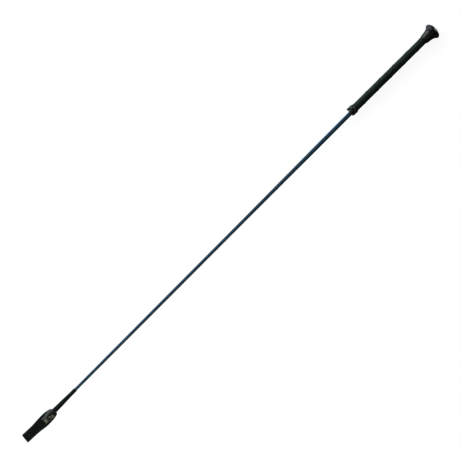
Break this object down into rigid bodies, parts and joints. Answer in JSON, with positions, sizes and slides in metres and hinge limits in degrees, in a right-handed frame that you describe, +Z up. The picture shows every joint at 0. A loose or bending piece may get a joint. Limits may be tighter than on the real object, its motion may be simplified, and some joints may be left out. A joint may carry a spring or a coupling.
{
  "type": "riding crop",
  "caption": "Slim riding crop: flared cap, spiral-wrapped grip, plaited knot, braided tapering shaft and a bound flat leather keeper that flexes.",
  "frame": {"origin": "on the table under the middle of the crop: centre of the bounding box in X and Y, bottom in Z", "axes": "+X along the crop towards the cap, +Z up from the table, +Y completes the right-handed set"},
  "size_m": [0.9, 0.0264, 0.0264],
  "materials": {
    "cap_gloss_black": "high gloss black moulding",
    "nail_steel": "plain steel",
    "plug_wood": "bare turned wood",
    "tube_plastic": "matte black plastic",
    "grip_leather": "satin black leather strip, fine grain",
    "black_thread": "tight waxed black thread",
    "lace_leather": "polished black leather lace",
    "foundation_tape": "matte cloth tape",
    "glass_fibre": "smooth pale glass fibre in resin",
    "navy_braid": "navy blue braided thread under a thin clear lacquer",
    "keeper_leather": "smooth dark leather with satin polish, painted edges"
  },
  "bodies": {
    "crop": {"cap_body": "cap_gloss_black", "cap_end_disc": "cap_gloss_black", "cap_nail": "nail_steel", "butt_plug": "plug_wood", "handle_tube": "tube_plastic", "grip_wrap": "grip_leather", "grip_top_binding": "black_thread", "knot_foundation": "foundation_tape", "turks_head_knot": "lace_leather", "core_rod": "glass_fibre", "shaft_braid": "navy_braid", "rod_tip_cap": "tube_plastic", "keeper_whipping": "black_thread", "keeper_front_root": "keeper_leather", "keeper_back_root": "keeper_leather"},
    "keeper_tongue": {"keeper_front_leaf": "keeper_leather", "keeper_back_leaf": "keeper_leather", "keeper_seam_thread": "black_thread"}
  },
  "joints": [
    {"name": "keeper_flex", "type": "hinge", "parent": "crop", "child": "keeper_tongue", "pos_m": [-0.4105, 0, 0.00185], "axis": [0, 1, 0], "range_deg": [-45, 45], "stiffness_Nm_per_rad": 0.02}
  ]
}
